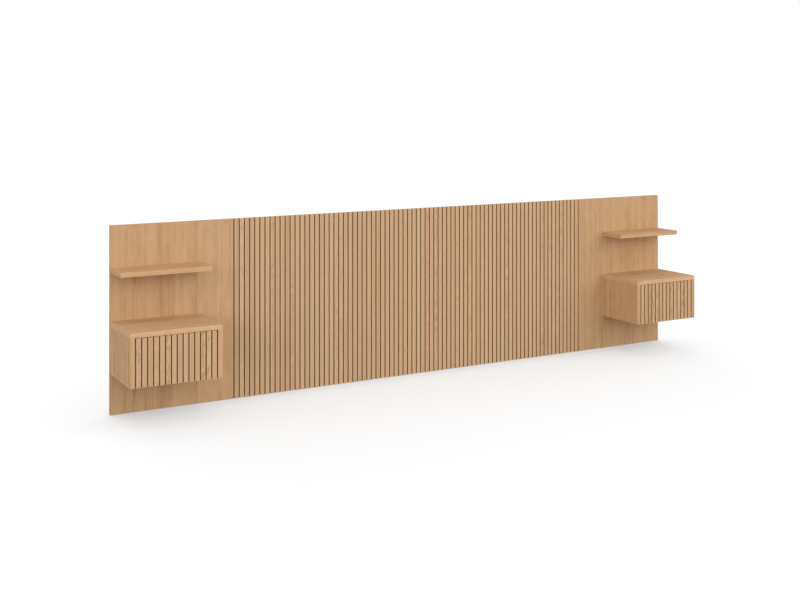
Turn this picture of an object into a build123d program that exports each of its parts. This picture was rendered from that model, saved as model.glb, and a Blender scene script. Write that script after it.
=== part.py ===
from build123d import *
import os

os.makedirs("parts", exist_ok=True)

# A wall-hung headboard in four panels, with a drawer nightstand and a shelf at each end.
# X runs along the wall, Y goes into the wall and Z is up. The origin is on the wall, midway
# along the headboard, at half the height of the wall rails' back face.
# Depths are measured from the wall towards the room, rises from the panels' lower edge and
# drops from their upper edge.
# The left-hand pieces are modelled, and the right-hand ones are their mirror images.

# Headboard panels
panel_height = 808
panel_thickness = 18
side_panel_width = 557
slats_per_panel = 39
slat_width = 19
groove_width = 6
slat_depth = 9
slat_bevel = 0.8
panel_edge_bevel = 1

# Cleats, wall rails and spacer strips, all as thick as the gap behind the panels
standoff = 15
rail_drop = 118
rail_back_height = 45
cleat_height = 60
strip_end_inset = 40
spacer_height = 40
spacer_rise = 30
wall_hole_radius = 3
wall_hole_inset = 60
side_rail_holes = 2
slat_rail_holes = 3

# Nightstand case and shelf, of boards of one thickness
board = 21
case_inset = 1
case_height = 225
case_depth = 285
case_rise = 174
drawer_slats = 14
case_edge_radius = 2
case_back_thickness = 12
case_bottom_thickness = 12
case_bottom_recess = 10
housing_depth = 6
housing_stop = 15
tongue_width = 7
shelf_depth = 153
shelf_drop = 203
shelf_edge_radius = 1.5

# Drawer
reveal = 2
drawer_wall = 12
drawer_height = 140
drawer_floor_gap = 10
drawer_bottom_thickness = 6
drawer_bottom_rise = 12
drawer_groove_depth = 6
finger_gap = 20
finger_bevel = 5

# Telescopic slides
slide_back_gap = 5
slide_height = 45
slide_space = 12.7
slide_gauge = 1.2
slide_rise = 45
ball_diameter = 3
running_gap = 0.3

# Screws: hexagon ones behind the side panels, and smaller pan-headed ones in the drawers
hex_screw_radius = 3
hex_head_radius = 5.5
hex_head_height = 4
hex_head_sides = 6
hex_screw_length = 55
pan_screw_radius = 2
pan_head_radius = 4
pan_head_height = 2.2
pan_head_sides = 12
pan_screw_length = 20
case_screw_inset = 45
shelf_screw_spacing = 260
front_screw_inset = 60
core_sides = 8
fit_gap = 0.1
glue_gap = 0.2

# Places along the wall, left of the middle
slat_pitch = slat_width + groove_width
slat_panel_width = slats_per_panel * slat_pitch + groove_width / 2
half_width = slat_panel_width + side_panel_width
opening_width = drawer_slats * slat_pitch + groove_width
case_width = opening_width + 2 * board
case_outer_x = case_inset - half_width
case_middle_x = case_outer_x + case_width / 2
side_panel_x = -slat_panel_width - side_panel_width / 2
slat_panel_x = -slat_panel_width / 2
opening_outer_x = case_outer_x + board
opening_inner_x = opening_outer_x + opening_width

# Heights
panel_bottom = rail_drop - panel_height
panel_middle_z = panel_bottom + panel_height / 2
rail_top = rail_back_height / 2
cleat_top = rail_top + cleat_height
spacer_z = panel_bottom + spacer_rise + spacer_height / 2
case_bottom = panel_bottom + case_rise
case_top_under = case_bottom + case_height - board
case_floor_under = case_bottom + case_bottom_recess
case_floor_top = case_floor_under + case_bottom_thickness
shelf_bottom = rail_drop - shelf_drop
drawer_bottom = case_floor_top + drawer_floor_gap
slide_z = drawer_bottom + slide_rise

# Depths from the wall, and lengths into the room
panel_front = standoff + panel_thickness
slat_back = panel_front - slat_depth
backer_thickness = panel_thickness - slat_depth
case_front = panel_front + case_depth
tongue_depth = case_depth - housing_stop
drawer_front_back = case_front - panel_thickness
case_floor_depth = case_depth - panel_thickness - finger_gap
drawer_box_back = panel_front + case_back_thickness + slide_back_gap
slide_length = drawer_front_back - drawer_box_back


def save(piece, name):
    """Labels a finished piece and writes it."""
    piece.part.label = name
    export_step(piece.part, f"parts/{name}.step")


def save_pair(piece, name):
    """Writes a left-hand piece, and its mirror image as the right-hand one."""
    save(piece, f"left_{name}")
    with BuildPart() as twin:
        mirror(piece.part, about=Plane.YZ)
    save(twin, f"right_{name}")


def facing_wall(x, depth, z):
    """A plane whose normal points at the wall."""
    return Plane((x, -depth, z), x_dir=(-1, 0, 0), z_dir=(0, 1, 0))


def screw(head_radius, head_sides, head_height, core_radius, length):
    """A screw whose head bears on the origin's plane, with its core down -Z."""
    with BuildPart() as one:
        with BuildSketch():
            RegularPolygon(head_radius, head_sides)
        extrude(amount=head_height)
        with BuildSketch():
            RegularPolygon(core_radius, core_sides)
        extrude(amount=-length)
    return one.part


def screw_holes(planes, core_radius, depth):
    """Holes for screw cores, one from each plane."""
    with Locations(*planes):
        Hole(radius=core_radius + fit_gap, depth=depth + fit_gap)


# Screw places, as planes at the screw heads
case_screw_xs = (case_outer_x + board / 2, case_outer_x + case_width - board / 2)
case_screw_zs = (case_bottom + case_screw_inset, case_top_under - case_screw_inset)
case_screws = [facing_wall(x, standoff, z) for x in case_screw_xs for z in case_screw_zs]
shelf_screws = [
    facing_wall(case_middle_x + side * shelf_screw_spacing / 2, standoff, shelf_bottom + board / 2)
    for side in (-1, 1)
]


def moved_in(planes, distance):
    """The same planes, further from the wall."""
    return [plane.offset(-distance) for plane in planes]


# Side panel
with BuildPart() as side_panel:
    with BuildSketch(Plane.XZ.offset(standoff)):
        with Locations((side_panel_x, panel_middle_z)):
            Rectangle(side_panel_width, panel_height)
    extrude(amount=panel_thickness)
    chamfer(side_panel.faces().sort_by(Axis.Y)[0].edges(), length=panel_edge_bevel)
    screw_holes(case_screws + shelf_screws, hex_screw_radius, panel_thickness)
save_pair(side_panel, "side_panel")

# Backing board of the slatted panel
with BuildPart() as slat_backer:
    with BuildSketch(Plane.XZ.offset(standoff)):
        with Locations((slat_panel_x, panel_middle_z)):
            Rectangle(slat_panel_width, panel_height)
    extrude(amount=backer_thickness)
save_pair(slat_backer, "slat_backer")


def slat_row(first_x, count, depth, bottom, height):
    """A row of upright slats glued to a board, with bevelled front edges."""
    places = [(first_x + slat_pitch * turn, -depth - slat_depth / 2) for turn in range(count)]
    with BuildPart() as row:
        with BuildSketch(Plane.XY.offset(bottom)) as plan:
            with Locations(*places):
                Rectangle(slat_width, slat_depth)
            chamfer(plan.vertices().group_by(Axis.Y)[0], length=slat_bevel)
        extrude(amount=height)
    return row


# Slats of the middle panels
first_slat_x = -slat_panel_width + groove_width + slat_width / 2
slats = slat_row(first_slat_x, slats_per_panel, slat_back, panel_bottom, panel_height)
save_pair(slats, "slats")


def hook_strip(middle_x, length, outline):
    """A strip along the wall with the given outline of depths and heights."""
    start_x = middle_x - length / 2
    with BuildPart() as strip:
        with BuildSketch(Plane.YZ.offset(start_x)):
            with BuildLine():
                Polyline(*[(-depth, z) for depth, z in outline], close=True)
            make_face()
        extrude(amount=length)
    return strip


# Wall rails, with a hook edge at 45 degrees along the top
wall_rail_outline = (
    (0, -rail_top),
    (0, rail_top),
    (standoff, rail_top + standoff),
    (standoff, -rail_top),
)
# Cleats, whose lower edge hooks over the rails
cleat_outline = (
    (0, rail_top),
    (0, cleat_top),
    (standoff, cleat_top),
    (standoff, rail_top + standoff),
)
# Spacer strips, which keep the panels upright against the wall
spacer_outline = (
    (0, spacer_z - spacer_height / 2),
    (0, spacer_z + spacer_height / 2),
    (standoff, spacer_z + spacer_height / 2),
    (standoff, spacer_z - spacer_height / 2),
)

panel_spans = ((side_panel_x, side_panel_width), (slat_panel_x, slat_panel_width))
for panel_name, hole_count, (middle_x, panel_width) in zip(
    ("side", "slat"), (side_rail_holes, slat_rail_holes), panel_spans
):
    strip_length = panel_width - 2 * strip_end_inset
    hole_spacing = (strip_length - 2 * wall_hole_inset) / (hole_count - 1)
    with BuildPart() as wall_rail:
        add(hook_strip(middle_x, strip_length, wall_rail_outline).part)
        with BuildSketch(Plane.XZ):
            with Locations((middle_x, 0)):
                with GridLocations(hole_spacing, 0, hole_count, 1):
                    Circle(wall_hole_radius)
        extrude(amount=standoff, mode=Mode.SUBTRACT)
    save_pair(wall_rail, f"{panel_name}_wall_rail")
    save_pair(hook_strip(middle_x, strip_length, cleat_outline), f"{panel_name}_cleat")

# The four spacer strips
with BuildPart() as spacers:
    for middle_x, panel_width in panel_spans:
        add(hook_strip(middle_x, panel_width - 2 * strip_end_inset, spacer_outline).part)
    mirror(about=Plane.YZ)
save(spacers, "lower_spacers")


# Screws through the side panels into the cases and shelves
hex_screw = screw(
    hex_head_radius, hex_head_sides, hex_head_height, hex_screw_radius, hex_screw_length
)
with BuildPart() as panel_screws:
    with Locations(*case_screws, *shelf_screws):
        add(hex_screw)
    mirror(about=Plane.YZ)
save(panel_screws, "panel_screws")

# Shelf
with BuildPart() as shelf:
    with BuildSketch(Plane.XY.offset(shelf_bottom)):
        with Locations((case_middle_x, -panel_front - shelf_depth / 2)):
            Rectangle(case_width, shelf_depth)
    extrude(amount=board)
    rims = shelf.edges().filter_by(Axis.Z, reverse=True).group_by(Axis.Y)[:-1]
    fillet(
        [edge for group in rims for edge in group]
        + shelf.edges().filter_by(Axis.Z).sort_by(Axis.Y)[:2],
        radius=shelf_edge_radius,
    )
    screw_holes(
        moved_in(shelf_screws, panel_thickness),
        hex_screw_radius,
        hex_screw_length - panel_thickness,
    )
save_pair(shelf, "shelf")

# Case top, which lies on the sides and takes their tongues
with BuildPart() as case_top:
    with BuildSketch(Plane.XY.offset(case_top_under)):
        with Locations((case_middle_x, -panel_front - case_depth / 2)):
            Rectangle(case_width, case_depth)
    extrude(amount=board)
    fillet(
        case_top.faces().sort_by(Axis.Z)[-1].edges().sort_by(Axis.Y)[:-1]
        + case_top.edges().filter_by(Axis.Z).sort_by(Axis.Y)[:2],
        radius=case_edge_radius,
    )
    tongue_y = -panel_front - tongue_depth / 2
    with Locations(*[(x, tongue_y, case_top_under) for x in case_screw_xs]):
        Box(
            tongue_width + 2 * glue_gap,
            tongue_depth + 2 * glue_gap,
            2 * housing_depth,
            mode=Mode.SUBTRACT,
        )
save_pair(case_top, "case_top")


def case_side(outer_x, outer_edge):
    """A case side board with a tongue for the top and a groove for the bottom board."""
    middle_x = outer_x + board / 2
    inner_x = outer_x + board * (1 if outer_edge == 0 else 0)
    with BuildPart() as side:
        with BuildSketch(Plane.YZ.offset(outer_x)):
            with Locations((-panel_front - case_depth / 2, (case_bottom + case_top_under) / 2)):
                Rectangle(case_depth, case_top_under - case_bottom)
        extrude(amount=board)
        front_edges = side.edges().filter_by(Axis.Z).sort_by(Axis.Y)[:2]
        fillet(front_edges.sort_by(Axis.X)[outer_edge], radius=case_edge_radius)
        with Locations((inner_x, -panel_front - case_floor_depth / 2, case_floor_under)):
            Box(
                2 * housing_depth,
                case_floor_depth + 2 * glue_gap,
                case_bottom_thickness + glue_gap,
                align=(Align.CENTER, Align.CENTER, Align.MIN),
                mode=Mode.SUBTRACT,
            )
        with Locations((middle_x, tongue_y, case_top_under)):
            Box(tongue_width, tongue_depth, 2 * (housing_depth - glue_gap))
        screw_holes(
            [facing_wall(middle_x, panel_front, z) for z in case_screw_zs],
            hex_screw_radius,
            hex_screw_length - panel_thickness,
        )
    return side


save_pair(case_side(case_outer_x, 0), "case_outer_side")
save_pair(case_side(opening_inner_x, -1), "case_inner_side")

# Case bottom, housed in the sides and stopped short of the drawer front for the fingers
with BuildPart() as case_bottom_board:
    with BuildSketch(Plane.XY.offset(case_floor_under)):
        with Locations((case_middle_x, -panel_front - case_floor_depth / 2)):
            Rectangle(opening_width + 2 * (housing_depth - glue_gap), case_floor_depth)
    extrude(amount=case_bottom_thickness)
save_pair(case_bottom_board, "case_bottom")

# Case back, between the sides and on the bottom
with BuildPart() as case_back:
    with BuildSketch(Plane.XZ.offset(panel_front)):
        with Locations((case_middle_x, (case_floor_top + case_top_under) / 2)):
            Rectangle(opening_width, case_top_under - case_floor_top)
    extrude(amount=case_back_thickness)
save_pair(case_back, "case_back")

# Drawer front: a backing board with slats, which hangs below the case bottom board
front_height = case_top_under - reveal - case_bottom
front_screw_xs = [
    case_middle_x + side * (opening_width / 2 - slide_space - drawer_wall - front_screw_inset)
    for side in (-1, 1)
]
front_screw_z = drawer_bottom + drawer_height / 2
front_screws = [
    facing_wall(x, drawer_front_back - drawer_wall, front_screw_z) for x in front_screw_xs
]
with BuildPart() as drawer_front:
    with BuildSketch(Plane.XZ.offset(drawer_front_back)):
        with Locations((case_middle_x, case_bottom + front_height / 2)):
            Rectangle(opening_width - 2 * reveal, front_height)
    extrude(amount=backer_thickness)
    back_face = drawer_front.faces().sort_by(Axis.Y)[-1]
    chamfer(back_face.edges().sort_by(Axis.Z)[0], length=finger_bevel)
    screw_holes(
        moved_in(front_screws, drawer_wall), pan_screw_radius, pan_screw_length - drawer_wall
    )
save_pair(drawer_front, "drawer_front_backer")

drawer_slat_row = slat_row(
    opening_outer_x + groove_width + slat_width / 2,
    drawer_slats,
    case_front - slat_depth,
    case_bottom,
    front_height,
)
save_pair(drawer_slat_row, "drawer_slats")

# Drawer box, held between the slides
box_width = opening_width - 2 * slide_space
box_inner_width = box_width - 2 * drawer_wall
box_middle_z = drawer_bottom + drawer_height / 2
box_inner_depth = slide_length - 2 * drawer_wall
box_middle_y = -(drawer_front_back + drawer_box_back) / 2
bottom_panel_under = drawer_bottom + drawer_bottom_rise
bottom_panel_reach = drawer_groove_depth - glue_gap


def bottom_groove():
    """The groove for the drawer's bottom panel, cut round the inside of the box."""
    with Locations((case_middle_x, box_middle_y, bottom_panel_under)):
        Box(
            box_inner_width + 2 * drawer_groove_depth,
            box_inner_depth + 2 * drawer_groove_depth,
            drawer_bottom_thickness + glue_gap,
            align=(Align.CENTER, Align.CENTER, Align.MIN),
            mode=Mode.SUBTRACT,
        )


def drawer_side(outer_x):
    """A side of the drawer box."""
    with BuildPart() as side:
        with BuildSketch(Plane.YZ.offset(outer_x)):
            with Locations((box_middle_y, box_middle_z)):
                Rectangle(slide_length, drawer_height)
        extrude(amount=drawer_wall)
        bottom_groove()
    return side


def drawer_end(depth):
    """The front or the back of the drawer box, between its sides."""
    with BuildPart() as end:
        with BuildSketch(Plane.XZ.offset(depth)):
            with Locations((case_middle_x, box_middle_z)):
                Rectangle(box_inner_width, drawer_height)
        extrude(amount=drawer_wall)
        bottom_groove()
    return end


save_pair(drawer_side(opening_outer_x + slide_space), "drawer_outer_side")
save_pair(drawer_side(opening_inner_x - slide_space - drawer_wall), "drawer_inner_side")
save_pair(drawer_end(drawer_box_back), "drawer_back")

with BuildPart() as drawer_box_front:
    add(drawer_end(drawer_front_back - drawer_wall).part)
    screw_holes(front_screws, pan_screw_radius, drawer_wall)
save_pair(drawer_box_front, "drawer_box_front")

with BuildPart() as drawer_bottom_panel:
    with BuildSketch(Plane.XY.offset(bottom_panel_under)):
        with Locations((case_middle_x, box_middle_y)):
            Rectangle(
                box_inner_width + 2 * bottom_panel_reach, box_inner_depth + 2 * bottom_panel_reach
            )
    extrude(amount=drawer_bottom_thickness)
save_pair(drawer_bottom_panel, "drawer_bottom")

pan_screw = screw(
    pan_head_radius, pan_head_sides, pan_head_height, pan_screw_radius, pan_screw_length
)
with BuildPart() as front_screw_set:
    with Locations(*front_screws):
        add(pan_screw)
save_pair(front_screw_set, "drawer_front_screws")

# Slides. Reaches are measured from the case side towards the drawer.
race_step = slide_gauge + ball_diameter + 2 * running_gap
half_gauge = slide_gauge / 2
lip_length = slide_gauge + ball_diameter - running_gap
lip_reach = slide_space - slide_gauge - running_gap - half_gauge
middle_web_reach = slide_gauge + running_gap + half_gauge
drawer_web_reach = slide_space - half_gauge
drawer_flange_reach = 2 * (slide_gauge + running_gap)


def lipped_channel(web_reach, half_height):
    """Centre line of a channel whose flanges end in lips that hold the balls."""
    flange = half_height - half_gauge
    lip_end = half_height - lip_length
    return (
        (lip_reach, -lip_end),
        (lip_reach, -flange),
        (web_reach, -flange),
        (web_reach, flange),
        (lip_reach, flange),
        (lip_reach, lip_end),
    )


half_slide = slide_height / 2
drawer_flange = half_slide - 2 * race_step - half_gauge
member_lines = {
    "case": lipped_channel(half_gauge, half_slide),
    "middle": lipped_channel(middle_web_reach, half_slide - race_step),
    "drawer": (
        (drawer_flange_reach, -drawer_flange),
        (drawer_web_reach, -drawer_flange),
        (drawer_web_reach, drawer_flange),
        (drawer_flange_reach, drawer_flange),
    ),
}


def slide_member(line, wall_x, towards_drawer):
    """A rolled steel member of a slide, beside the case side at wall_x."""
    points = [(wall_x + towards_drawer * reach, slide_z + z) for reach, z in line]
    with BuildPart() as member:
        with BuildSketch(Plane.XZ.offset(drawer_box_back)):
            with BuildLine():
                Polyline(*points)
            trace(line_width=slide_gauge)
        extrude(amount=slide_length)
    return member


for member_name, line in member_lines.items():
    outer_member = slide_member(line, opening_outer_x, 1)
    save_pair(outer_member, f"outer_slide_{member_name}_member")
    inner_member = slide_member(line, opening_inner_x, -1)
    save_pair(inner_member, f"inner_slide_{member_name}_member")
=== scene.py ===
import math

import bmesh
import bpy
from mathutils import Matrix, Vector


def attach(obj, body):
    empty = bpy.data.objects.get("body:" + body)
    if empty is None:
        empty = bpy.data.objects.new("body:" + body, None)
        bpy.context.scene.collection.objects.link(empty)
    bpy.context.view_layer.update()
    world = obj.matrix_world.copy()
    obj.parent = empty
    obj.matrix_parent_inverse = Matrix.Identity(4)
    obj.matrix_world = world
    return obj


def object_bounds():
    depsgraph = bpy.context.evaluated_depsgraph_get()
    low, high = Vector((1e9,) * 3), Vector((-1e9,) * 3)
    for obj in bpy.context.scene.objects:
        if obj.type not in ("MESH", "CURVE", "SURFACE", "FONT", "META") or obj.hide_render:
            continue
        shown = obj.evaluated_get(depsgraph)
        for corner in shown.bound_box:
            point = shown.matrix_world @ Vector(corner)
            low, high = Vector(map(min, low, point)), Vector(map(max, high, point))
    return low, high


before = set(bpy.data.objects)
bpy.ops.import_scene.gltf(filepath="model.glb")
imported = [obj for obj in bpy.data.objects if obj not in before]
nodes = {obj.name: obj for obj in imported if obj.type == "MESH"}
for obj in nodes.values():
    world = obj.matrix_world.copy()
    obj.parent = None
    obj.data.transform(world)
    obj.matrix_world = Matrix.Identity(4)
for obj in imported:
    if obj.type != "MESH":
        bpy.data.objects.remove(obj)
cad_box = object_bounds()

# Sizes of the slatted fields, in metres
SLAT_PITCH = 0.025
SLAT_WIDTH = 0.019
PANEL_SLATS_START = 0.003
DRAWER_SLATS_START = 1.163


def colour(red, green, blue):
    """A linear colour from one on the usual 0 to 255 scale."""
    scaled = (red / 255, green / 255, blue / 255)
    return tuple(c / 12.92 if c <= 0.04045 else ((c + 0.055) / 1.055) ** 2.4 for c in scaled)


# Deep, middle and pale tones of the veneered boards and of the slats
BOARD_OAK = (colour(166, 126, 86), colour(200, 162, 121), colour(213, 179, 140))
SIDE_OAK = (colour(160, 121, 81), colour(196, 157, 116), colour(210, 175, 136))
TOP_OAK = (colour(168, 130, 91), colour(203, 165, 125), colour(215, 181, 144))
SLAT_OAK = (colour(181, 144, 105), colour(211, 176, 137), colour(221, 189, 154))
DRAWER_OAK = (colour(175, 137, 97), colour(210, 173, 133), colour(222, 189, 153))
PINK_OAK = colour(206, 152, 118)

# Darker colours of the slats' side faces and, from dark to pale, of the boards behind the slats
SLAT_SIDE_COLOUR = colour(164, 120, 68)
BACKER_DARK, BACKER_PALE = colour(130, 93, 49), colour(160, 117, 65)

BIRCH_PALE, BIRCH_DEEP = colour(226, 200, 164), colour(199, 165, 124)
SOFTWOOD_PALE, SOFTWOOD_DEEP = colour(214, 184, 145), colour(184, 147, 105)

# Shader building

# The mix node's two inputs and its output for each kind of data
MIX_SOCKETS = {"RGBA": (6, 7, 2), "VECTOR": (4, 5, 1)}


class Signal:
    """A number or a vector in a shader, to calculate with."""

    def __init__(self, tree, socket):
        self.tree = tree
        self.socket = socket

    def calculate(self, operation, *others):
        made = self.tree.nodes.new("ShaderNodeMath")
        made.operation = operation
        for place, item in zip(made.inputs, (self, *others)):
            feed(self.tree, place, item)
        return Signal(self.tree, made.outputs[0])

    def __add__(self, other):
        return self.calculate("ADD", other)

    def __sub__(self, other):
        return self.calculate("SUBTRACT", other)

    def __mul__(self, other):
        return self.calculate("MULTIPLY", other)

    def __truediv__(self, other):
        return self.calculate("DIVIDE", other)

    def whole(self):
        return self.calculate("FLOOR")

    def part(self):
        return self.calculate("FRACT")

    def size(self):
        return self.calculate("ABSOLUTE")

    def above(self, limit):
        return self.calculate("GREATER_THAN", limit)

    def ramp(self, start, end, low=0.0, high=1.0):
        made = self.tree.nodes.new("ShaderNodeMapRange")
        made.interpolation_type = "SMOOTHSTEP"
        for name, item in zip(
            ("Value", "From Min", "From Max", "To Min", "To Max"), (self, start, end, low, high)
        ):
            feed(self.tree, made.inputs[name], item)
        return Signal(self.tree, made.outputs[0])


def feed(tree, place, item):
    """Sets an input to a number or a colour, or links a signal to it."""
    if isinstance(item, Signal):
        tree.links.new(item.socket, place)
    elif isinstance(item, tuple) and len(item) == 3 and place.type == "RGBA":
        place.default_value = (*item, 1)
    else:
        place.default_value = item


def vector(x, y, z):
    """Three signals or numbers as one vector."""
    tree = next(item.tree for item in (x, y, z) if isinstance(item, Signal))
    made = tree.nodes.new("ShaderNodeCombineXYZ")
    for place, item in zip(made.inputs, (x, y, z)):
        feed(tree, place, item)
    return Signal(tree, made.outputs[0])


def split(joined):
    """The three numbers of a vector."""
    made = joined.tree.nodes.new("ShaderNodeSeparateXYZ")
    feed(joined.tree, made.inputs[0], joined)
    return [Signal(joined.tree, output) for output in made.outputs]


def noise(place, detail=2.0, roughness=0.5, distortion=0.0):
    """Smooth noise about 0.5 at a place whose unit is the size of a blotch."""
    tree = place.tree
    made = tree.nodes.new("ShaderNodeTexNoise")
    feed(tree, made.inputs["Vector"], place)
    for name, item in (
        ("Scale", 1.0),
        ("Detail", detail),
        ("Roughness", roughness),
        ("Distortion", distortion),
    ):
        made.inputs[name].default_value = item
    return Signal(tree, made.outputs["Fac"])


def chance(place):
    """Three random numbers, the same all over a cell."""
    tree = place.tree
    made = tree.nodes.new("ShaderNodeTexWhiteNoise")
    made.noise_dimensions = "3D"
    feed(tree, made.inputs["Vector"], place)
    parts = tree.nodes.new("ShaderNodeSeparateColor")
    tree.links.new(made.outputs["Color"], parts.inputs[0])
    return [Signal(tree, output) for output in parts.outputs]


def blend(share, first, second, kind="RGBA"):
    """A mix of two colours, or of two vectors."""
    tree = share.tree
    made = tree.nodes.new("ShaderNodeMix")
    made.data_type = kind
    first_input, second_input, output = MIX_SOCKETS[kind]
    feed(tree, made.inputs[0], share)
    feed(tree, made.inputs[first_input], first)
    feed(tree, made.inputs[second_input], second)
    return Signal(tree, made.outputs[output])


def brighten(tint, factor):
    """A colour times a number."""
    tree = factor.tree
    made = tree.nodes.new("ShaderNodeVectorMath")
    made.operation = "SCALE"
    feed(tree, made.inputs[0], tint)
    feed(tree, made.inputs["Scale"], factor)
    return Signal(tree, made.outputs[0])


def new_material(name):
    """A material with its shader, and the place on the piece."""
    material = bpy.data.materials.new(name)
    material.use_nodes = True
    tree = material.node_tree
    shader = tree.nodes["Principled BSDF"]
    spots = tree.nodes.new("ShaderNodeTexCoord")
    return material, tree, shader, Signal(tree, spots.outputs["Object"])


def facing(tree):
    """How far a surface faces along each axis."""
    made = tree.nodes.new("ShaderNodeNewGeometry")
    return [part.size() for part in split(Signal(tree, made.outputs["True Normal"]))]


def finish(tree, shader, tint, roughness, height, depth, strength=0.4):
    """Links the colour, roughness and relief of a surface."""
    bump = tree.nodes.new("ShaderNodeBump")
    bump.inputs["Strength"].default_value = strength
    bump.inputs["Distance"].default_value = depth
    feed(tree, bump.inputs["Height"], height)
    tree.links.new(bump.outputs[0], shader.inputs["Normal"])
    feed(tree, shader.inputs["Base Color"], tint)
    feed(tree, shader.inputs["Roughness"], roughness)


# Wood

# Share of a normal along an axis from which a surface is turned that way, or square to the axis
TURNED = 0.7
SQUARE = 0.9

# Blotches of oak's figure per metre across and along the grain
SWAY_DENSITY = (2.5, 1.6)
RIPPLE_DENSITY = (30, 5)
STREAK_DENSITY = (130, 1.1)
BROAD_DENSITY = (36, 0.7)
CLOUD_DENSITY = (30, 12)
SLAT_STREAK_DENSITY = (160, 2.2)
FIBRE_DENSITY = (900, 14)
PORE_DENSITY = (1500, 70)

# The same into the wood
SWAY_DEPTH_DENSITY = 2
FIBRE_DEPTH_DENSITY = 300
SLAT_STREAK_DEPTH_DENSITY = 60
SLAT_FIBRE_DEPTH_DENSITY = 600
PORE_DEPTH_DENSITY = 900

# Where a veneer leaf lies in its tree: shares of the leaf's width for the pith's place, and the
# reach along the grain, in metres, of the leaf's and the board's own shifts
PITH_START, PITH_RANGE = 0.3, 0.4
LEAF_SHIFT = 3
BOARD_SHIFT = 0.37

# Growth rings, in metres: how far the heart lies behind the leaf and how much that changes, the
# rings' ripples and their slow wander with its length, their pitch, and the length of a band
HEART_DEPTH, HEART_CHANGE = 0.012, 0.08
RING_RIPPLE = 0.0024
RING_WANDER, WANDER_LENGTH = 0.012, 0.02
RING_PITCH = 0.0056
BAND_LENGTH = 0.011

# How often the heart's depth starts over per metre of a leaf, and how far the sway moves that
HEART_TURNS, HEART_SWAY = 0.11, 0.09

# The share of a ring that is early wood, its mean tone, the radii between which the rings fade, and
# their weights there
EARLY_END = 0.55
EARLY_MEAN = 0.6
RINGS_FADE = (0.008, 0.045)
RING_WEIGHTS = (0.38, 0.12)

# Steps of two noises from one leaf to the next, and offsets that keep two others apart
WANDER_STEP, BAND_STEP = 3.1, 7.3
CLOUD_OFFSET, BROAD_OFFSET = 9, 5

# Pores: the levels of noise between which they open, their share in late wood, and their shade
PORE_EDGE = (0.6, 0.72)
LATE_PORES = 0.25
PORE_SHADE = 0.22

# How oak's tone turns into its colour, and the largest share of pink
DEEP_TONES, PALE_TONES = (0.0, 0.55), (0.45, 1.0)
PINK_SHARE = 0.2

OIL_GLOSS = 0.06
OAK_ROUGHNESS = 0.58
OAK_RELIEF = 0.00012


def grain_place(tree, place, grain):
    """The place as (across the grain, along the grain, depth) for boards with the named grain."""
    x, y, z = split(place)
    to_x, _, to_z = facing(tree)
    if grain == "upright":
        front, side = vector(x, z, y), vector(y, z, x)
    else:
        front, side = vector(z, x, y), vector(z, y, x)
    long_face = blend(to_x.above(TURNED), front, side, "VECTOR")
    return blend(to_z.above(TURNED), long_face, vector(y, x, z), "VECTOR")


def stretched(across, along, density, third):
    """The place in blotches, from their number per metre across and along the grain."""
    return vector(across * density[0], along * density[1], third)


def oak_pores(across, along, depth):
    """1 in the pores of oak and 0 between them."""
    place = stretched(across, along, PORE_DENSITY, depth * PORE_DEPTH_DENSITY)
    return noise(place, 1.0).ramp(*PORE_EDGE)


def oak_figure(across, along, depth, seed, leaf_width):
    """Tone from 0 to 1, pores and fibres of flat-cut oak veneer laid in leaves."""
    turn = across / leaf_width + seed
    leaf = turn.whole()
    lot, rise, pith = chance(vector(leaf, seed, 0.5))
    middle = (turn.part() - (pith * PITH_RANGE + PITH_START)) * leaf_width
    run = along + rise * LEAF_SHIFT + seed * BOARD_SHIFT
    sway_depth = depth * SWAY_DEPTH_DENSITY + seed
    sway = noise(stretched(across, run, SWAY_DENSITY, sway_depth), 1.0) - 0.5
    ripple = noise(stretched(across, run, RIPPLE_DENSITY, seed), 2.0) - 0.5
    heart = (run * HEART_TURNS + sway * HEART_SWAY).part() * HEART_CHANGE + HEART_DEPTH
    radius = (middle * middle + heart * heart).calculate("SQRT") + ripple * RING_RIPPLE
    wander = noise(vector(radius / WANDER_LENGTH, leaf * WANDER_STEP, seed), 1.0) * RING_WANDER
    early = ((radius + wander) / RING_PITCH).part().ramp(0.0, EARLY_END)
    band = noise(vector(radius / BAND_LENGTH, leaf * BAND_STEP, seed), 1.0)
    streak = noise(stretched(across, run, STREAK_DENSITY, seed), 3.0, 0.7)
    broad = noise(stretched(across, run, BROAD_DENSITY, seed + BROAD_OFFSET), 1.0)
    cloud = noise(stretched(across, run, CLOUD_DENSITY, seed + CLOUD_OFFSET), 2.0, 0.6)
    fibre = noise(stretched(across, run, FIBRE_DENSITY, depth * FIBRE_DEPTH_DENSITY), 2.0, 0.6)
    pores = oak_pores(across, run, depth) * early.ramp(0.0, 1.0, 1.0, LATE_PORES)
    tone = (early - EARLY_MEAN) * radius.ramp(*RINGS_FADE, *RING_WEIGHTS)
    for part, weight in (
        (band, 0.4),
        (streak, 0.38),
        (broad, 0.55),
        (cloud, 0.46),
        (fibre, 0.25),
        (lot, 0.08),
    ):
        tone = tone + (part - 0.5) * weight
    return tone + 0.5, pores, fibre, lot


def oak_colour(tints, tone, pores, hue):
    """Oak's colour for a tone, with dark pores and a slight turn from yellow to pink."""
    deep, middle, pale = tints
    tint = blend(tone.ramp(*DEEP_TONES), deep, middle)
    tint = blend(tone.ramp(*PALE_TONES), tint, pale)
    tint = blend(hue * PINK_SHARE, tint, PINK_OAK)
    return brighten(tint, pores * -PORE_SHADE + 1)


def oil(tree, shader, tint, fibre, pores):
    """The finish of oiled oak, whose fibres and pores can be felt."""
    roughness = fibre * 0.2 + pores * 0.2 + OAK_ROUGHNESS
    finish(tree, shader, tint, roughness, fibre * 0.5 - pores, OAK_RELIEF)
    shader.inputs["Specular IOR Level"].default_value = OIL_GLOSS


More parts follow.
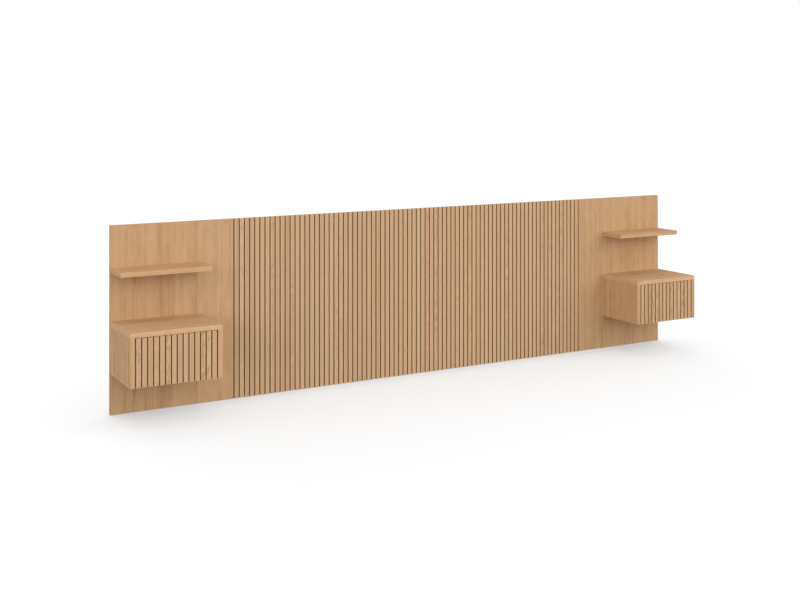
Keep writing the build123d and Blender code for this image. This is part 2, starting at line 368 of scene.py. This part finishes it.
def veneer(name, grain, seed, leaf_width, spread, tints, front_lift):
    """Oiled oak veneer, its tones spread by a factor and its front edge paler by a share."""
    material, tree, shader, place = new_material(name)
    across, along, depth = split(grain_place(tree, place, grain))
    tone, pores, fibre, lot = oak_figure(across, along, depth, seed, leaf_width)
    tint = oak_colour(tints, (tone - 0.5) * spread + 0.5, pores, lot)
    _, to_front, _ = facing(tree)
    lift = to_front.above(SQUARE) * front_lift + 1
    oil(tree, shader, brighten(tint, lift), fibre, pores)
    return material


# Slats: the number that sets the right-hand cells apart, how far apart in the wood two slats are
# cut, the width in metres of the painted highlight along each slat's edges, and what each part
# adds to the tone
RIGHT_CELLS = 57
SLAT_ACROSS_SHIFT, SLAT_ALONG_SHIFT = 5, 7
SLAT_STREAK_SHIFT = 9
FLAME_ACROSS, FLAME_SLANT, FLAME_ALONG, FLAME_STEP = 90, 16, 26, 30
EDGE_HIGHLIGHT_WIDTH = 0.004
SLAT_BASE_TONE = 0.42
LOT_WEIGHT = 0.16
STREAK_WEIGHT = 0.45
FIBRE_WEIGHT = 0.25
FLAME_WEIGHT = 0.9
EDGE_HIGHLIGHT_WEIGHT = 0.5


def slat_oak(name, start, seed, tints, flamed_share, spread):
    """Oak slats side by side, each with its own tone and a painted highlight along its edges, and
    darker on the side faces in the grooves.
    """
    material, tree, shader, place = new_material(name)
    x, y, z = split(place)
    turn = (x.size() - start) / SLAT_PITCH
    cell = turn.whole() + x.above(0.0) * RIGHT_CELLS
    lot, hue, spot = chance(vector(cell, seed, 0.25))
    across = turn.part() * SLAT_PITCH + lot * SLAT_ACROSS_SHIFT
    along = z + spot * SLAT_ALONG_SHIFT
    streak_depth = y * SLAT_STREAK_DEPTH_DENSITY + lot * SLAT_STREAK_SHIFT
    streak = noise(stretched(across, along, SLAT_STREAK_DENSITY, streak_depth), 2.0, 0.6)
    fibre_depth = y * SLAT_FIBRE_DEPTH_DENSITY + hue
    fibre = noise(stretched(across, along, FIBRE_DENSITY, fibre_depth), 2.0, 0.6)
    pores = oak_pores(across, along, y)
    slant = across * FLAME_ACROSS + along * FLAME_SLANT
    flame = noise(vector(slant, along * FLAME_ALONG, hue * FLAME_STEP), 2.0, 0.6, 0.8)
    flamed = spot.above(1 - flamed_share) * (flame - 0.5)
    # Painted highlight: the tone is paler towards both edges of each slat, as if eased edges caught
    # the light
    middle = (turn.part() * SLAT_PITCH - SLAT_WIDTH / 2).size()
    edge_highlight = middle.ramp(SLAT_WIDTH / 2 - EDGE_HIGHLIGHT_WIDTH, SLAT_WIDTH / 2)
    tone = (
        (lot - 0.5) * LOT_WEIGHT
        + (streak - 0.5) * STREAK_WEIGHT * spread
        + (fibre - 0.5) * FIBRE_WEIGHT
        + flamed * FLAME_WEIGHT * spread
        + edge_highlight * EDGE_HIGHLIGHT_WEIGHT
        + SLAT_BASE_TONE
    )
    to_side, _, _ = facing(tree)
    # Faces square to the slats' width, inside the grooves, take the darker side colour
    tint = blend(to_side.above(SQUARE), oak_colour(tints, tone, pores, hue), SLAT_SIDE_COLOUR)
    oil(tree, shader, tint, fibre, pores)
    return material


def dark_backer_board(name):
    """The dark board behind the slats."""
    material, tree, shader, place = new_material(name)
    x, y, z = split(place)
    fleck = noise(vector(x * 700, y * 700, z * 90), 2.0, 0.6)
    cloud = noise(vector(x * 9, y * 9, z * 3), 2.0)
    tint = blend(fleck * 0.6 + cloud * 0.4, BACKER_DARK, BACKER_PALE)
    finish(tree, shader, tint, cloud * 0.2 + 0.5, fleck, 0.0001)
    return material


# The two axes along a sheet of plywood, by its thin axis, and its plies
SHEET_AXES = {"x": ("y", "z"), "y": ("x", "z"), "z": ("x", "y")}
PLY_THICKNESS = 0.0014
PLY_SHADE = 0.28


def plywood(name, thin_axis, seed, pale, deep):
    """Plywood, whose plies show at its edges."""
    material, tree, shader, place = new_material(name)
    parts = dict(zip("xyz", split(place)))
    faces = dict(zip("xyz", facing(tree)))
    along, across = (parts[axis] for axis in SHEET_AXES[thin_axis])
    through = parts[thin_axis]
    ply = (through / (2 * PLY_THICKNESS) + seed).part().above(0.5)
    edge = faces[thin_axis].ramp(0.3, 0.7, 1.0, 0.0)
    sway = noise(vector(along * 3, across * 9, through * 9 + seed), 1.0) * 0.02
    flame = noise(vector(along * 3, (across + sway) * 70, through * 70 + seed), 3.0, 0.6)
    fibre = noise(vector(along * 60, across * 900, through * 900), 2.0, 0.6)
    cloud = noise(vector(along * 5, across * 14, through * 14 + seed), 2.0)
    tone = cloud * 0.4 + flame * 0.4 + fibre * 0.2
    tint = brighten(blend(tone.ramp(0.3, 0.7), deep, pale), edge * ply * -PLY_SHADE + 1)
    finish(tree, shader, tint, fibre * 0.2 + 0.45, fibre, 0.00008)
    shader.inputs["Specular IOR Level"].default_value = OIL_GLOSS
    return material


# Metal and plastic


def steel(name, tint, roughness):
    """Plated steel with fine rolling lines along the slides."""
    material, tree, shader, place = new_material(name)
    x, y, z = split(place)
    lines = noise(vector(x * 2500, y * 25, z * 2500), 2.0, 0.6)
    cloud = noise(vector(x * 60, y * 20, z * 60), 2.0)
    shader.inputs["Metallic"].default_value = 1
    shade = blend(cloud, tint, tuple(c * 0.8 for c in tint))
    finish(tree, shader, shade, lines * 0.15 + cloud * 0.12 + roughness, lines, 0.00002)
    return material


def plastic(name, tint):
    """Moulded plastic with a fine grain."""
    material, tree, shader, place = new_material(name)
    x, y, z = split(place)
    grain = noise(vector(x * 6000, y * 6000, z * 6000), 2.0)
    cloud = noise(vector(x * 300, y * 300, z * 300), 2.0)
    shade = blend(cloud, tint, tuple(c * 1.5 for c in tint))
    finish(tree, shader, shade, grain * 0.15 + 0.4, grain, 0.00003)
    return material


# Materials of the CAD nodes


def dress(name, material):
    """Gives a CAD node its material."""
    for place in nodes[name].material_slots:
        place.link = "OBJECT"
        place.material = material


board = dark_backer_board("dark_board")
panel_slat_oak = slat_oak("panel_slat_oak", PANEL_SLATS_START, 3, SLAT_OAK, 0.16, 1.1)
drawer_slat_oak = slat_oak("drawer_slat_oak", DRAWER_SLATS_START, 8, DRAWER_OAK, 0.5, 1.7)
rail_wood = plywood("rail_plywood", "y", 0.3, SOFTWOOD_PALE, SOFTWOOD_DEEP)
drawer_wood = {
    axis: plywood(f"drawer_plywood_{axis}", axis, 0.1 + turn, BIRCH_PALE, BIRCH_DEEP)
    for turn, axis in enumerate("xyz")
}
slide_steel = steel("slide_steel", colour(196, 199, 203), 0.26)
screw_steel = steel("screw_steel", colour(205, 200, 182), 0.3)

# Each veneered board with its grain, seed, width of a leaf in metres, spread of the tones, tones,
# and how much paler its front edge is
VENEERS = (
    ("side_panel", "upright", 0.2, 0.185, 1.0, BOARD_OAK, 0.0),
    ("shelf", "lying", 1.7, 0.16, 1.0, SIDE_OAK, 0.16),
    ("case_top", "lying", 2.9, 0.29, 1.1, TOP_OAK, 0.21),
    ("case_outer_side", "upright", 4.1, 0.29, 1.5, SIDE_OAK, 0.12),
    ("case_inner_side", "upright", 5.3, 0.29, 1.15, SIDE_OAK, 0.12),
    ("case_bottom", "lying", 6.2, 0.25, 1.0, BOARD_OAK, 0.0),
    ("case_back", "lying", 7.4, 0.25, 1.0, BOARD_OAK, 0.0),
)
RIGHT_SEED_STEP = 11

SLIDE_MEMBERS = [
    f"{slide}_slide_{member}_member"
    for slide in ("outer", "inner")
    for member in ("case", "middle", "drawer")
]
PAIRED_PIECES = (
    (panel_slat_oak, ["slats"]),
    (drawer_slat_oak, ["drawer_slats"]),
    (board, ["slat_backer", "drawer_front_backer"]),
    (rail_wood, ["side_wall_rail", "side_cleat", "slat_wall_rail", "slat_cleat"]),
    (drawer_wood["x"], ["drawer_outer_side", "drawer_inner_side"]),
    (drawer_wood["y"], ["drawer_back", "drawer_box_front"]),
    (drawer_wood["z"], ["drawer_bottom"]),
    (slide_steel, SLIDE_MEMBERS),
    (screw_steel, ["drawer_front_screws"]),
)

for turn, side in enumerate(("left", "right")):
    for piece, grain, seed, *rest in VENEERS:
        name = f"{side}_{piece}"
        dress(name, veneer(f"{name}_veneer", grain, seed + turn * RIGHT_SEED_STEP, *rest))
    for material, pieces in PAIRED_PIECES:
        for piece in pieces:
            dress(f"{side}_{piece}", material)
dress("lower_spacers", rail_wood)
dress("panel_screws", screw_steel)

# Small parts of the telescopic slides, in metres: each size is along the slide, or is its reach
# from the case side towards the drawer, or its height from the middle of the slide

SLIDE_HEIGHT = -0.439

# The case side that each of the two slides is on, and which way the slide reaches from it
SLIDE_WALLS = ((1.513, -1), (1.157, 1))

# Ball cages: the member that each is in, the body it rides on, its height, and its reach
CAGES = (
    ("case", "headboard", 0.0195, 0.0017, 0.0095),
    ("drawer", "slide_middles", 0.0147, 0.0032, 0.0094),
)
CAGE_FRONT = -0.29
CAGE_CELLS = 11
CAGE_HALF_GAUGE = 0.0003
HOLE_RADIUS = 0.00165
ROUND_POINTS = 24
TINY = 1e-9

BALL_RADIUS = 0.0015
BALL_STEP = 0.01
BALL_POINTS, BALL_LEVELS = 12, 7

# Pan heads: each ring's shares of the radius and of the rise, and whether the cross shapes it
HEAD_RADIUS = 0.0036
HEAD_RISE = 0.0021
HEAD_RINGS = (
    (1.0, 0.0, False),
    (1.0, 0.35, False),
    (0.9, 0.75, False),
    (0.72, 1.0, False),
    (0.6, 1.0, True),
    (0.36, 0.3, True),
)
CROSS_SHARES = [1.0, 0.42, 0.34, 0.34, 0.34, 0.42] * 4
ROUND_SHARES = [1.0] * ROUND_POINTS
MEMBER_FLOOR = 0.0115
MEMBER_SCREWS = (-0.288, -0.17, -0.062)

# Release levers: outlines along the slide and in height, and for the shoulder and the tip of the
# finger tab, its shift along the slide, the share of its height and its rise
LEVER_BACK = 0.0112
LEVER_GAUGE = 0.0018
LEVER_TAB = 0.0058
LEVER_OUTLINE = (
    (-0.1830, 0.0040),
    (-0.1850, 0.0056),
    (-0.1885, 0.0056),
    (-0.1910, 0.0036),
    (-0.2060, 0.0030),
    (-0.2230, 0.0034),
    (-0.2330, 0.0052),
    (-0.2400, 0.0046),
    (-0.2420, 0.0024),
    (-0.2400, 0.0004),
    (-0.2320, -0.0008),
    (-0.2060, -0.0014),
    (-0.1910, -0.0012),
    (-0.1885, -0.0028),
    (-0.1850, -0.0028),
    (-0.1830, -0.0012),
)
TAB_OUTLINE = ((-0.2415, 0.0042), (-0.2340, 0.0044), (-0.2340, 0.0006), (-0.2415, 0.0010))
TAB_FOOT = (0.0, 1.0, 0.0)
TAB_SHOULDER = (0.0006, 0.9, 0.0003)
TAB_TIP = (0.0016, 0.7, 0.0008)


class Shape:
    """Points and faces, with its own way from the sizes on a slide to the shared frame."""

    def __init__(self):
        self.points = []
        self.faces = []
        self.place = None

    def at(self, mirror, wall, inwards):
        self.place = lambda along, reach, height: (
            mirror * (wall + inwards * reach),
            along,
            SLIDE_HEIGHT + height,
        )

    def ring(self, spots):
        start = len(self.points)
        self.points += [self.place(*spot) for spot in spots]
        return list(range(start, len(self.points)))

    def join(self, first, second):
        """Faces between two closed rings."""
        count = len(first)
        for turn in range(count):
            after = (turn + 1) % count
            self.faces.append((first[turn], first[after], second[after], second[turn]))

    def stack(self, rings):
        """Faces between each ring and the next, and over the first and the last."""
        for first, second in zip(rings, rings[1:]):
            self.join(first, second)
        self.faces += [tuple(rings[0]), tuple(rings[-1])]

    def piece(self, name, body, slot, material, smooth=False):
        mesh = bpy.data.meshes.new(name)
        mesh.from_pydata(self.points, [], self.faces)
        work = bmesh.new()
        work.from_mesh(mesh)
        bmesh.ops.recalc_face_normals(work, faces=work.faces)
        work.to_mesh(mesh)
        work.free()
        if smooth:
            mesh.polygons.foreach_set("use_smooth", [True] * len(mesh.polygons))
        mesh.materials.append(material)
        made = bpy.data.objects.new(name, mesh)
        bpy.context.scene.collection.objects.link(made)
        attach(made, body)


def round_ring(count, radius):
    """Points of a circle, as pairs."""
    turns = [2 * math.pi * turn / count for turn in range(count)]
    return [(radius * math.cos(turn), radius * math.sin(turn)) for turn in turns]


def cage_cell(shape, along, height, near, far):
    """One cell of a ball cage, with a round hole for its ball."""
    middle = (near + far) / 2
    half_long, half_wide = BALL_STEP / 2, (far - near) / 2
    square = []
    for y, r in round_ring(ROUND_POINTS, 1.0):
        reach = min(half_long / max(abs(y), TINY), half_wide / max(abs(r), TINY))
        square.append((y * reach, r * reach))
    (low_edge, low_hole), (high_edge, high_hole) = [
        [
            shape.ring([(along + y, middle + r, height + level) for y, r in outline])
            for outline in (square, round_ring(ROUND_POINTS, HOLE_RADIUS))
        ]
        for level in (-CAGE_HALF_GAUGE, CAGE_HALF_GAUGE)
    ]
    shape.join(low_edge, low_hole)
    shape.join(high_edge, high_hole)
    shape.join(low_hole, high_hole)
    shape.join(low_edge, high_edge)


def ball(shape, along, reach, height):
    """A ball with flat caps at its top and bottom."""
    rings = []
    for level in range(1, BALL_LEVELS):
        tilt = math.pi * level / BALL_LEVELS
        rise, radius = BALL_RADIUS * math.cos(tilt), BALL_RADIUS * math.sin(tilt)
        circle = round_ring(BALL_POINTS, radius)
        rings.append(shape.ring([(along + y, reach + r, height + rise) for y, r in circle]))
    shape.stack(rings)


def screw_head(shape, along):
    """A pan head with a cross recess, on the floor of the drawer member."""
    rings = []
    for radius_share, rise_share, crossed in HEAD_RINGS:
        circle = round_ring(ROUND_POINTS, HEAD_RADIUS * radius_share)
        shares = CROSS_SHARES if crossed else ROUND_SHARES
        reach = MEMBER_FLOOR - HEAD_RISE * rise_share
        spots = [(along + y * s, reach, z * s) for (y, z), s in zip(circle, shares)]
        rings.append(shape.ring(spots))
    shape.stack(rings)


def lever(shape):
    """The release lever, flat along the drawer member with a finger tab at its front end."""
    near = LEVER_BACK - LEVER_GAUGE
    shape.stack(
        [shape.ring([(y, reach, z) for y, z in LEVER_OUTLINE]) for reach in (LEVER_BACK, near)]
    )
    levels = ((near, TAB_FOOT), ((near + LEVER_TAB) / 2, TAB_SHOULDER), (LEVER_TAB, TAB_TIP))
    shape.stack(
        [
            shape.ring([(y + shift, reach, z * share + rise) for y, z in TAB_OUTLINE])
            for reach, (shift, share, rise) in levels
        ]
    )


cage_steel = steel("cage_steel", colour(176, 178, 180), 0.34)
ball_steel = steel("ball_steel", colour(214, 216, 220), 0.12)
lever_plastic = plastic("lever_plastic", colour(44, 44, 46))

for side, mirror in (("left", -1), ("right", 1)):
    for member, body, height, near, far in CAGES:
        cages, balls = Shape(), Shape()
        for wall, inwards in SLIDE_WALLS:
            cages.at(mirror, wall, inwards)
            balls.at(mirror, wall, inwards)
            for up in (-1, 1):
                for cell in range(CAGE_CELLS):
                    along = CAGE_FRONT + (cell + 0.5) * BALL_STEP
                    cage_cell(cages, along, up * height, near, far)
                    ball(balls, along, (near + far) / 2, up * height)
        ridden = body if body == "headboard" else f"{side}_{body}"
        cages.piece(f"{side}_slide_{member}_ball_cages", ridden, "slide_steel", cage_steel)
        balls.piece(f"{side}_slide_{member}_balls", ridden, "slide_steel", ball_steel, smooth=True)
    heads, levers = Shape(), Shape()
    for wall, inwards in SLIDE_WALLS:
        heads.at(mirror, wall, inwards)
        levers.at(mirror, wall, inwards)
        for along in MEMBER_SCREWS:
            screw_head(heads, along)
        lever(levers)
    heads.piece(f"{side}_slide_screw_heads", f"{side}_drawer", "zinc_steel", screw_steel)
    levers.piece(f"{side}_slide_release_levers", f"{side}_drawer", "slide_steel", lever_plastic)

# Stage: a pale floor under the panels
FLOOR_DROP = 0.001
FLOOR_HALF = 30
FLOOR_CORNERS = ((-1, -1), (1, -1), (1, 1), (-1, 1))
floor_z = cad_box[0].z - FLOOR_DROP
floor_mesh = bpy.data.meshes.new("floor")
floor_mesh.from_pydata(
    [(x * FLOOR_HALF, y * FLOOR_HALF, floor_z) for x, y in FLOOR_CORNERS], [], [(0, 1, 2, 3)]
)
floor = bpy.data.objects.new("floor", floor_mesh)
bpy.context.scene.collection.objects.link(floor)


def seen_directly(tree):
    """1 for rays from the camera and for rays that a mirror or a glass sends on."""
    path = tree.nodes.new("ShaderNodeLightPath")
    rays = [
        Signal(tree, path.outputs[name])
        for name in ("Is Camera Ray", "Is Glossy Ray", "Is Transmission Ray")
    ]
    return rays[0].calculate("MAXIMUM", rays[1].calculate("MAXIMUM", rays[2]))


def open_sky(tree, reach):
    """How open the space above a point is, within a reach."""
    corners = tree.nodes.new("ShaderNodeAmbientOcclusion")
    corners.samples = OCCLUSION_SAMPLES
    corners.inputs["Distance"].default_value = reach
    return Signal(tree, corners.outputs["AO"])


# The floor reflects the first grey onto the pieces, and shows the second and a glow with a painted
# shadow: it is less where the pieces cover the sky within a near and a far reach, in metres
FLOOR_BOUNCE, FLOOR_SHOWN = (0.35, 0.35, 0.35), (0.3, 0.3, 0.3)
FLOOR_ROUGHNESS = 0.75
FLOOR_RELIEF, FLOOR_RELIEF_STRENGTH = 0.0001, 0.05
FLOOR_GLOSS = 0.1
FLOOR_GLOW = 0.722
OCCLUSION_SAMPLES = 12
NEAR_REACH, NEAR_SHADE = 0.2, 0.2
NEAR_EDGE = (0.3, 0.9)
FAR_REACH, FAR_SHADE = 1.3, 0.3
floor_paint, tree, shader, place = new_material("floor_paint")
x, y, z = split(place)
speck = noise(vector(x * 90, y * 90, z), 3.0)
seen = seen_directly(tree)
finish(
    tree,
    shader,
    blend(seen, FLOOR_BOUNCE, FLOOR_SHOWN),
    speck * 0.1 + FLOOR_ROUGHNESS,
    speck,
    FLOOR_RELIEF,
    FLOOR_RELIEF_STRENGTH,
)
shader.inputs["Specular IOR Level"].default_value = FLOOR_GLOSS
shader.inputs["Emission Color"].default_value = (1, 1, 1, 1)
# Painted shadow on the floor: the glow dims where the pieces cover the sky nearby
near_sky = open_sky(tree, NEAR_REACH).ramp(*NEAR_EDGE)
far_sky = open_sky(tree, FAR_REACH)
shadowed_glow = near_sky * NEAR_SHADE + far_sky * FAR_SHADE + (1 - NEAR_SHADE - FAR_SHADE)
feed(tree, shader.inputs["Emission Strength"], seen * shadowed_glow * FLOOR_GLOW)
floor_mesh.materials.append(floor_paint)

# Light: a white room and large soft lamps, each with its azimuth from the front towards the right,
# its height and its strength
ROOM_LEVEL = 0.7
LAMPS = (
    ("left", -60, 7, 1.14),
    ("front", 0, 7, 0.97),
    ("right", 60, 30, 0.67),
    ("back", 180, 7, 1.3),
)
LAMP_SPREAD = 50
world = bpy.data.worlds.new("room")
bpy.context.scene.world = world
world.use_nodes = True
tree = world.node_tree
background = tree.nodes["Background"]
background.inputs["Color"].default_value = (1, 1, 1, 1)
feed(tree, background.inputs["Strength"], seen_directly(tree) * (1 - ROOM_LEVEL) + ROOM_LEVEL)

for name, azimuth, elevation, strength in LAMPS:
    lamp_data = bpy.data.lights.new(name, "SUN")
    lamp_data.energy = strength
    lamp_data.angle = math.radians(LAMP_SPREAD)
    lamp = bpy.data.objects.new(name, lamp_data)
    lamp.rotation_euler = (math.radians(90 - elevation), 0, math.radians(azimuth))
    bpy.context.scene.collection.objects.link(lamp)

# Camera, at the place that the photograph's perspective gives
SENSOR_WIDTH = 36
FOCAL_LENGTH = 51.80
VERTICAL_SHIFT = -0.2546
CAMERA_PLACE = (-2.87865, -4.90150, 0.66793)
CAMERA_TURN = -29.56
camera_data = bpy.data.cameras.new("camera")
camera_data.sensor_width = SENSOR_WIDTH
camera_data.lens = FOCAL_LENGTH
camera_data.shift_y = VERTICAL_SHIFT
camera = bpy.data.objects.new("camera", camera_data)
camera.location = CAMERA_PLACE
camera.rotation_euler = (math.radians(90), 0, math.radians(CAMERA_TURN))
bpy.context.scene.collection.objects.link(camera)
bpy.context.scene.camera = camera

bpy.context.scene.view_settings.view_transform = "Standard"
